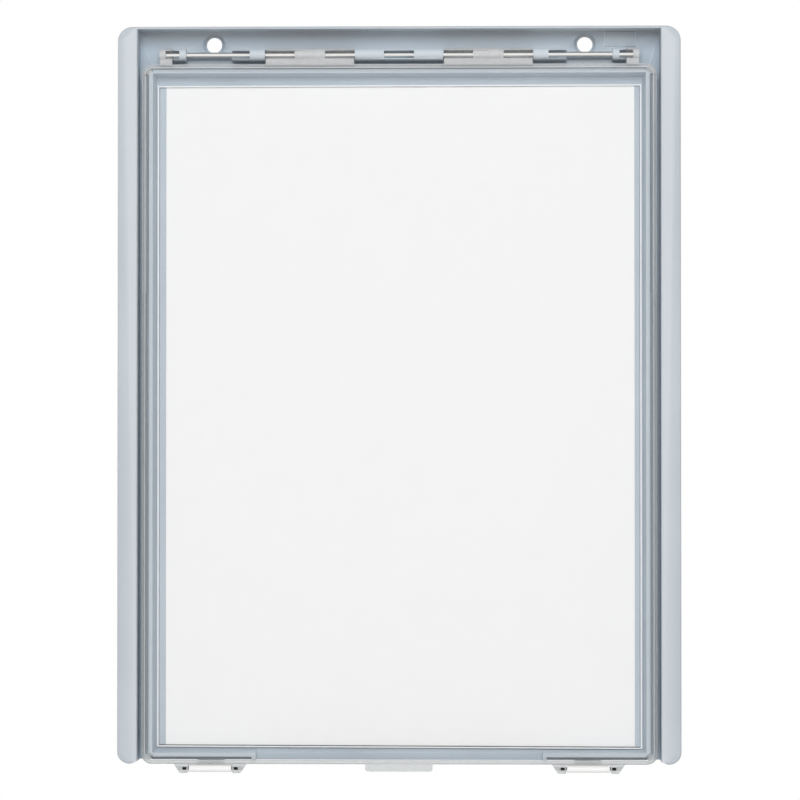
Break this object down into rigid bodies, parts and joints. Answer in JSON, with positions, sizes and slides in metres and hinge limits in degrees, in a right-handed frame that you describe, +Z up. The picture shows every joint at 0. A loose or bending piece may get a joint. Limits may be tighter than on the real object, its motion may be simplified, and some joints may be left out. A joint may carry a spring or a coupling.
{
  "type": "notice board",
  "caption": "Flat wall-hung notice board for an upright paper sheet: shallow tray with raised side rails, clear cover hinged on a rod along the top, finger tab and lever latches below.",
  "frame": {"origin": "midway between the hanging holes, on the flat back that lies against the wall", "axes": "+Z up the wall, +Y into the wall, +X to the right seen from the front; the front faces -Y"},
  "size_m": [0.2512, 0.015, 0.3333],
  "materials": {
    "tray_plastic": "pale blue-grey moulded plastic, fine satin texture",
    "clear_plastic": "clear moulded plastic, polished",
    "rod_steel": "bright drawn stainless steel",
    "white_paper": "plain white paper, nothing printed",
    "clear_film": "clear flexible film",
    "white_plastic": "white moulded plastic, satin",
    "pin_steel": "dark steel pin"
  },
  "bodies": {
    "tray": {"tray": "tray_plastic", "hinge_rod": "rod_steel", "notice_sheet": "white_paper", "clear_film": "clear_film"},
    "cover": {"clear_cover": "clear_plastic", "latch_pin_left": "pin_steel", "latch_pin_right": "pin_steel"},
    "latch_left": {"latch_lever_left": "white_plastic"},
    "latch_right": {"latch_lever_right": "white_plastic"}
  },
  "joints": [
    {"name": "cover_hinge", "type": "hinge", "parent": "tray", "child": "cover", "pos_m": [0, -0.007, -0.00505], "axis": [-1, 0, 0], "range_deg": [0, 120]},
    {"name": "latch_left", "type": "hinge", "parent": "cover", "child": "latch_left", "pos_m": [-0.0844, -0.008, -0.3243], "axis": [-1, 0, 0], "range_deg": [-15, 70]},
    {"name": "latch_right", "type": "hinge", "parent": "cover", "child": "latch_right", "pos_m": [0.0844, -0.008, -0.3243], "axis": [-1, 0, 0], "range_deg": [-15, 70]}
  ]
}
